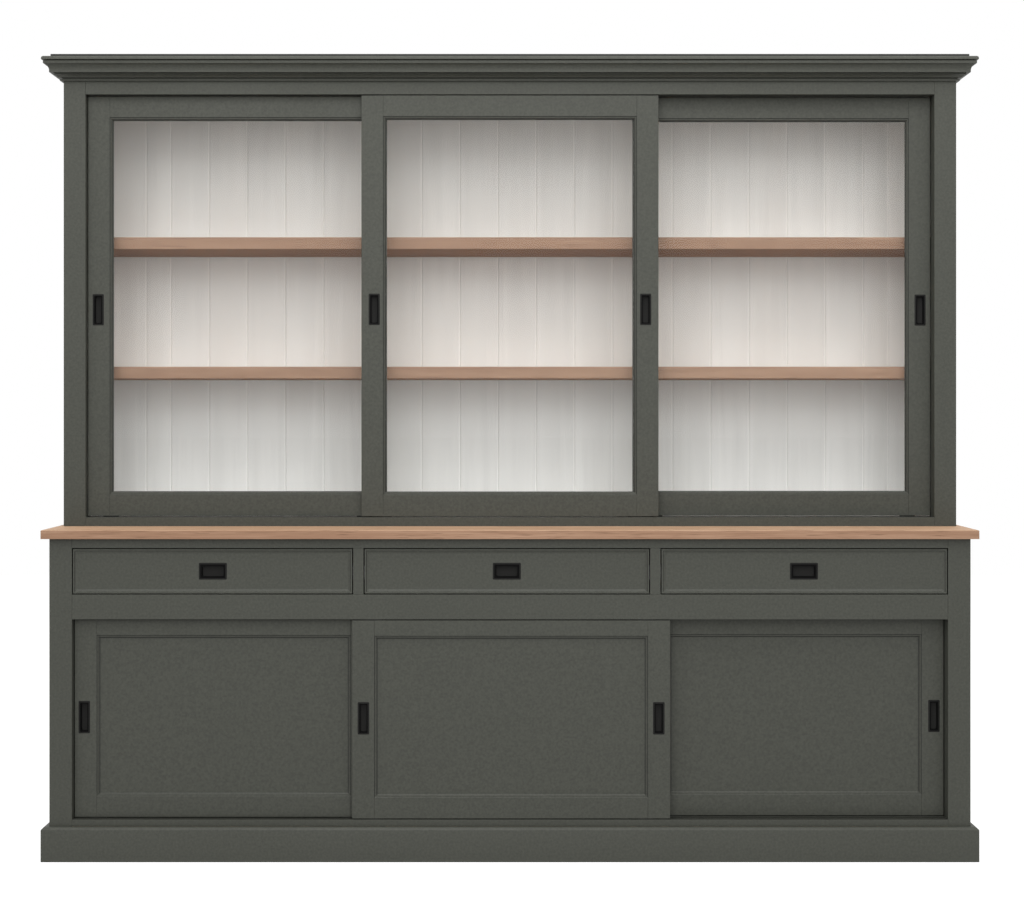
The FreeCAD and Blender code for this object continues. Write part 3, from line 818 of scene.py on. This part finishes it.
def modelPull(kind):
    width, height = pulls[kind]["plate"]
    mouthWidth, mouthHeight = pulls[kind]["mouth"]
    cupWidth, cupHeight = mouthWidth + 2 * pulls["wall"], mouthHeight + 2 * pulls["wall"]
    pull = newBlock(kind + "PullModel", (-width / 2, -pulls["edge"], -height / 2), (width / 2, 0.0, height / 2))
    for material in (blackIron, ironShade):
        pull.data.materials.append(material)
    # plate with a raised ring, and the mouth with rounded corners
    pickFaces(pull, facesFront)
    bpy.ops.mesh.inset(thickness=pulls["border"], depth=0.0)
    bpy.ops.mesh.inset(thickness=pulls["rimSlope"], depth=pulls["rim"])
    step = pulls["border"] + pulls["rimSlope"]
    inset = min(width - mouthWidth, height - mouthHeight) / 2 - step
    bpy.ops.mesh.inset(thickness=inset, depth=0.0)
    resizePicked(mouthWidth / (width - 2 * (inset + step)), mouthHeight / (height - 2 * (inset + step)))
    bpy.ops.mesh.bevel(affect="VERTICES", **pulls["mouthCorner"])
    # the cup, with a slight taper and a dished floor
    pickFaces(pull, lambda centre, normal: facesFront(centre, normal)
              and abs(centre.x) < pulls["middle"] and abs(centre.z) < pulls["middle"])
    pushPicked(pulls["cupDepth"])
    resizePicked(*pulls["cupTaper"])
    bpy.ops.mesh.inset(**pulls["cupFloor"])
    # the cup's walls and the raised ring are painted in shade, the cup's floor isn't
    pickFaces(pull, lambda centre, normal: centre.y > 0.0 and normal.y < 0.9)
    paintPicked(pull, 1)
    pickFaces(pull, lambda centre, normal: centre.y > pulls["cupDepth"] / 2 and facesFront(centre, normal))
    paintPicked(pull, 0)
    pickFaces(pull, lambda centre, normal: facesFront(centre, normal) and centre.y < -pulls["edge"] - hair)
    paintPicked(pull, 1)
    # the cup's outside, behind the plate
    pickFaces(pull, lambda centre, normal: facesBack(centre, normal) and centre.y < hair)
    back = min(width - cupWidth, height - cupHeight) / 2
    bpy.ops.mesh.inset(thickness=back, depth=0.0)
    resizePicked(cupWidth / (width - 2 * back), cupHeight / (height - 2 * back))
    pushPicked(pulls["cupDepth"] + pulls["bottom"])
    # the plate's corners
    pickEdges(pull, lambda a, b: max(abs(a.x - b.x), abs(a.z - b.z)) < hair
              and abs(a.x) > width / 2 - hair and abs(a.z) > height / 2 - hair)
    bpy.ops.mesh.bevel(**pulls["plateCorner"])
    bpy.ops.object.mode_set(mode="OBJECT")
    easeEdges(pull, pulls["ease"], pulls["easeAngle"], pulls["smooth"])
    return pull


pullModels = {"door": modelPull("door"), "drawer": modelPull("drawer")}
for node in nodesEnding("_pull"):
    low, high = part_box(node)
    kind = "drawer" if "drawer" in node else "door"
    reach = pulls[kind]["plate"][0] / 2
    ends = sorted({round(low[0] + reach, 5), round(high[0] - reach, 5)})
    spots = [(x, low[1] + pulls["sink"], (low[2] + high[2]) / 2) for x in ends]
    standFor(joinCopies(pullModels[kind], node + "_cup", spots), node)
for model in pullModels.values():
    bpy.data.objects.remove(model)
print("pulls fitted")


# stage: pale floor, white surroundings and soft lamps
white = (1.0, 1.0, 1.0, 1.0)
stage = {"floorSize": 16.0, "floorDrop": 0.0005, "floorColour": 0.45, "glow": 0.77, "worldLight": 0.50}


def seenDirectly(tree):
    path = addNode(tree, "ShaderNodeLightPath", -700, 0)
    first = mathNode(tree, -500, 0, "MAXIMUM", path.outputs["Is Camera Ray"], path.outputs["Is Glossy Ray"])
    return mathNode(tree, -350, 0, "MAXIMUM", first, path.outputs["Is Transmission Ray"])


deselectAll()
bpy.ops.mesh.primitive_plane_add(size=stage["floorSize"], location=(0.0, 0.0, -stage["floorDrop"]))
floor = bpy.context.object
floor.name = "floor"
floorMaterial, floorTree, floorShader = newMaterial("paleFloor")
setInputs(floorShader, Base_Color=(stage["floorColour"],) * 3 + (1.0,), Roughness=0.9, Specular_IOR_Level=0.0,
          Emission_Color=white)
floorTree.links.new(mathNode(floorTree, -150, 0, "MULTIPLY", seenDirectly(floorTree), stage["glow"]),
                    floorShader.inputs["Emission Strength"])
floor.data.materials.append(floorMaterial)

world = bpy.data.worlds.new("studio")
bpy.context.scene.world = world
world.use_nodes = True
worldTree = world.node_tree
worldTree.nodes.clear()
worldOut = addNode(worldTree, "ShaderNodeOutputWorld", 600, 0)
worldMix = addNode(worldTree, "ShaderNodeMixShader", 400, 0)
worldSoft = setInputs(addNode(worldTree, "ShaderNodeBackground", 150, 100), Color=white,
                      Strength=stage["worldLight"])
worldSeen = setInputs(addNode(worldTree, "ShaderNodeBackground", 150, -100), Color=white)
worldTree.links.new(seenDirectly(worldTree), worldMix.inputs["Fac"])
worldTree.links.new(worldSoft.outputs["Background"], worldMix.inputs[1])
worldTree.links.new(worldSeen.outputs["Background"], worldMix.inputs[2])
worldTree.links.new(worldMix.outputs["Shader"], worldOut.inputs["Surface"])

# place, aim, size, power, and whether the lamp shows in glossy surfaces
lamps = {
    "keyLamp": ((0.0, -4.8, 4.2), (0.0, 0.0, 1.3), (5.0, 3.2), 130.0, True),
    "fillLamp": ((0.0, -5.6, 2.1), (0.0, 0.0, 1.6), (5.0, 2.2), 84.0, False),
    "topLamp": ((0.0, -1.8, 4.4), (0.0, -0.6, 1.0), (5.0, 2.4), 104.0, True),
    "leftLamp": ((-5.0, 1.5, 2.0), (0.0, 0.2, 1.1), (3.0, 3.0), 55.0, False),
    "rightLamp": ((5.0, 1.5, 2.0), (0.0, 0.2, 1.1), (3.0, 3.0), 55.0, False),
    "backLamp": ((0.0, 5.0, 2.4), (0.0, 0.2, 1.1), (4.0, 3.0), 60.0, False),
}
for name, (place, aim, size, power, mirrored) in lamps.items():
    lampData = bpy.data.lights.new(name, "AREA")
    lampData.shape = "RECTANGLE"
    lampData.size, lampData.size_y = size
    lampData.energy = power
    lamp = addObject(name, lampData)
    lamp.location = place
    lamp.visible_glossy = mirrored
    dx, dy, dz = [a - p for a, p in zip(aim, place)]
    lamp.rotation_euler = (math.atan2(math.hypot(dx, dy), -dz), 0.0, math.atan2(-dx, dy))

# camera worked out from the photograph, in metres and millimetres
view = {"eye": (0.0, -4.96, 1.15), "lens": 64.65, "sensor": 36.0, "shiftX": 0.0020, "shiftY": -0.0470}
cameraData = bpy.data.cameras.new("camera")
cameraData.lens = view["lens"]
cameraData.sensor_width = view["sensor"]
cameraData.sensor_fit = "HORIZONTAL"
cameraData.shift_x = view["shiftX"]
cameraData.shift_y = view["shiftY"]
camera = addObject("camera", cameraData)
camera.location = view["eye"]
camera.rotation_euler = (math.pi / 2, 0.0, 0.0)
bpy.context.scene.camera = camera
bpy.context.scene.view_settings.view_transform = "Standard"
print("stage, lamps and camera placed")
